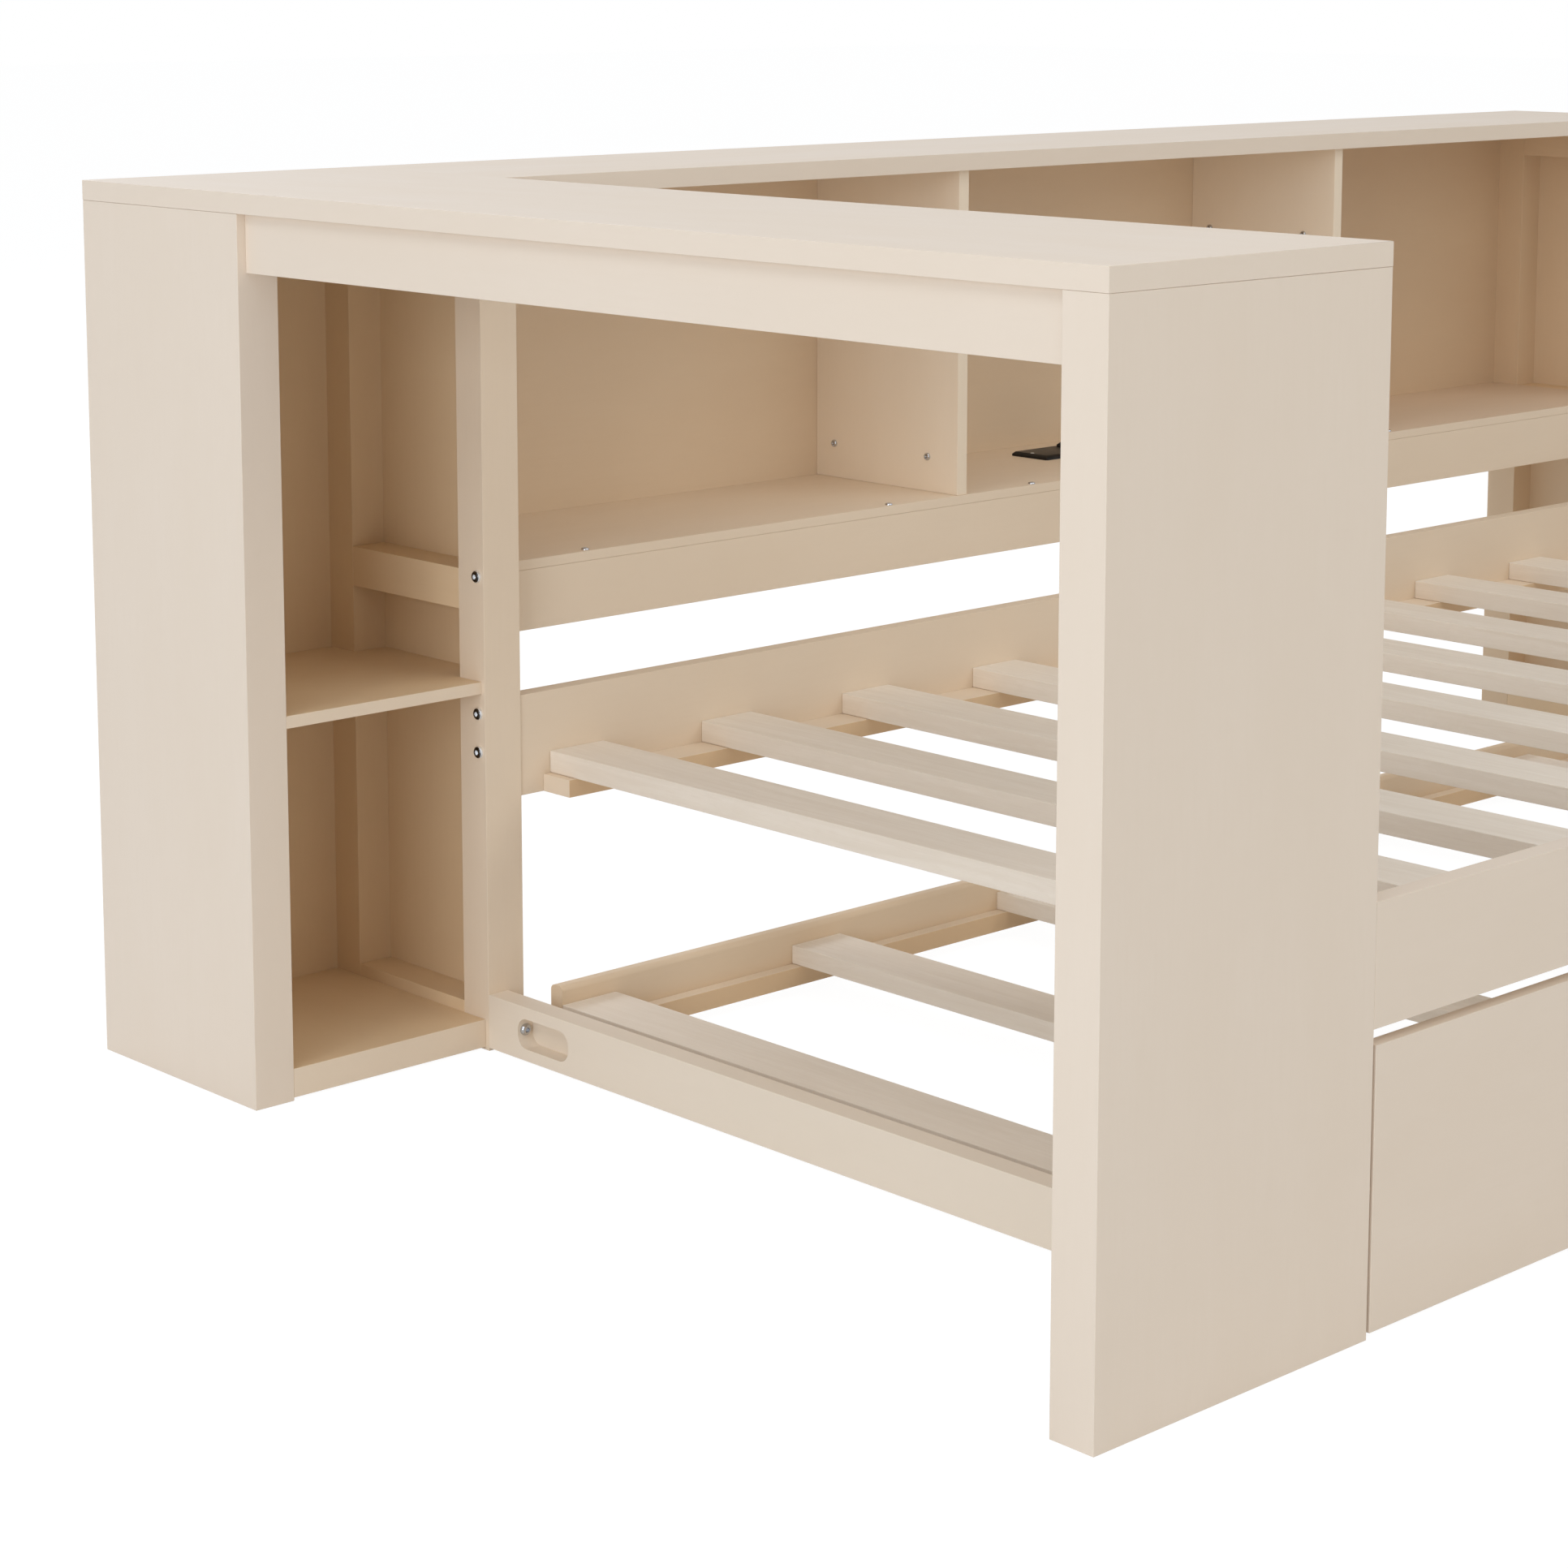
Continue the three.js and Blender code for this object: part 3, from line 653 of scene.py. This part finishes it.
def pocket_bolt():
    """The bolt in the end wall of the stretcher's pocket, which pulls it to the post"""
    bolt = button_bolt(
        "pocket_bolt", diameter=12 * MM, height=4 * MM, across_flats=5 * MM, depth=2.6 * MM
    )
    low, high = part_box("head_stretcher")
    from_face, from_post_end, from_bottom = 9 * MM, 45 * MM, 27.5 * MM
    place = (low.x + from_face, high.y - from_post_end, low.z + from_bottom)
    place_piece("pocket_bolt", bolt, ZINC, "bed_frame", place, TOWARDS_FRONT)


def caster_screws():
    """Four screws up through each caster's flanges into its slat"""
    screw = pan_screw("caster_screw", diameter=4.6 * MM, height=1.4 * MM, depth=0.9 * MM)
    half_span_x, half_span_y, flange = 15.5 * MM, 7 * MM, 2 * MM
    for end in ("head", "foot"):
        for side in ("front", "back"):
            low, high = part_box(f"caster_bracket_{end}_{side}")
            for i, sx in enumerate((-1, 1)):
                for j, sy in enumerate((-1, 1)):
                    place = (
                        (low.x + high.x) / 2 + sx * half_span_x,
                        (low.y + high.y) / 2 + sy * half_span_y,
                        high.z - flange,
                    )
                    name = f"caster_screw_{end}_{side}_{2 * i + j + 1}"
                    place_piece(name, screw, ZINC, "trundle", place, DOWN)


# Power hub


def power_hub_fittings():
    """Two outlets on the hub's raised block, and a small status light on its plate"""
    low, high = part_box("power_hub")
    middle_y = (low.y + high.y) / 2
    blade = {"width": 2.2 * MM, "length": 7.5 * MM, "radius": 0.4 * MM}
    blade_apart, blade_up = 6.2 * MM, 4 * MM
    outlet = pierced_plate(
        "hub_outlet",
        rounded_outline(width=27 * MM, length=33 * MM, radius=6 * MM),
        [
            rounded_outline(**blade, middle=(-blade_apart, blade_up)),
            rounded_outline(**blade, middle=(blade_apart, blade_up)),
            rounded_outline(width=5 * MM, length=5 * MM, radius=2.45 * MM, middle=(0, -8 * MM)),
        ],
        thickness=1.2 * MM,
    )
    for i, from_end in enumerate((24 * MM, 58 * MM)):
        place = (high.x - from_end, middle_y, high.z)
        place_piece(f"hub_outlet_{i + 1}", outlet, BLACK, "bed_frame", place)
    heights_and_radii = ((0.0, 2.3), (0.3, 2.3), (0.55, 1.9), (0.6, 1.0))
    rings = [(height * MM, circle(radius * MM)) for height, radius in heights_and_radii]
    light = turned("hub_light", even_angles(SMALL_SIDES), rings)
    from_tip, plate_thickness = 6.5 * MM, 5 * MM
    place = (low.x + from_tip, middle_y, low.z + plate_thickness)
    place_piece("hub_light", light, PALE, "bed_frame", place)


# Floor, light and camera


def floor():
    """The floor as the camera sees it, and as it lights the object"""
    finish, tree, shader = material(
        "floor", Roughness=1.0, Specular_IOR_Level=0.0, Emission_Color=WHITE
    )
    seen = node(tree, "ShaderNodeLightPath").outputs["Is Camera Ray"]
    tree.links.new(mix(tree, seen, FLOOR_BOUNCE, FLOOR_SEEN), shader.inputs["Base Color"])
    glow = remap(tree, seen, 0, 1, FLOOR_BOUNCE_GLOW, FLOOR_SEEN_GLOW)
    tree.links.new(glow, shader.inputs["Emission Strength"])
    mesh = bpy.data.meshes.new("floor")
    corners = [(sx * FLOOR_HALF, sy * FLOOR_HALF, -FLOOR_DROP) for sx, sy in CORNER_SIGNS]
    mesh.from_pydata(corners, [], [(0, 1, 2, 3)])
    mesh.materials.append(finish)
    obj = bpy.data.objects.new("floor", mesh)
    bpy.context.scene.collection.objects.link(obj)


def sky():
    """White to the camera, tinted and dimmer as a light, and brighter again in reflections"""
    world = bpy.data.worlds.new("sky")
    bpy.context.scene.world = world
    world.use_nodes = True
    tree = world.node_tree
    background = tree.nodes["Background"]
    path = node(tree, "ShaderNodeLightPath").outputs
    seen, mirrored = path["Is Camera Ray"], path["Is Glossy Ray"]
    tree.links.new(mix(tree, seen, (*SKY_TINT, 1), WHITE), background.inputs["Color"])
    glow = remap(tree, seen, 0, 1, SKY_RADIANCE, BACKDROP_RADIANCE)
    glow = remap(tree, mirrored, 0, 1, glow, SKY_MIRRORED)
    tree.links.new(glow, background.inputs["Strength"])


def softboxes():
    """The large soft lamps, all aimed at the bed, none of them seen by the camera"""
    for name, (azimuth, elevation, watts, tint) in SOFTBOXES.items():
        lamp = bpy.data.lights.new(name, "AREA")
        lamp.shape = "SQUARE"
        lamp.size = SOFTBOX_SIZE
        lamp.energy = watts
        lamp.color = tint
        obj = bpy.data.objects.new(name, lamp)
        bpy.context.scene.collection.objects.link(obj)
        obj.visible_camera = False
        a, e = math.radians(azimuth), math.radians(elevation)
        away = Vector((-math.cos(a) * math.cos(e), -math.sin(a) * math.cos(e), math.sin(e)))
        obj.location = SOFTBOX_AIM + SOFTBOX_DISTANCE * away
        obj.location.z = max(obj.location.z, SOFTBOX_LOWEST)
        obj.rotation_mode = "QUATERNION"
        obj.rotation_quaternion = (SOFTBOX_AIM - obj.location).to_track_quat("-Z", "Y")


def camera():
    """The photograph's camera, level but for its small tilt"""
    lens = bpy.data.cameras.new("camera")
    lens.sensor_fit = "HORIZONTAL"
    lens.sensor_width = CAMERA_SENSOR
    lens.lens = CAMERA_LENS
    lens.shift_y = CAMERA_SHIFT_UP
    obj = bpy.data.objects.new("camera", lens)
    bpy.context.scene.collection.objects.link(obj)
    level = math.cos(CAMERA_TILT)
    along_x, along_y = math.cos(CAMERA_AZIMUTH) * level, math.sin(CAMERA_AZIMUTH) * level
    ahead = Vector((along_x, along_y, -math.sin(CAMERA_TILT)))
    obj.location = CAMERA_PLACE
    obj.rotation_mode = "QUATERNION"
    obj.rotation_quaternion = ahead.to_track_quat("-Z", "Y")
    bpy.context.scene.camera = obj


dress_nodes()
post_bolts()
divider_screws()
shelf_screws()
pocket_bolt()
caster_screws()
power_hub_fittings()
floor()
sky()
softboxes()
camera()
bpy.context.scene.view_settings.view_transform = "Standard"
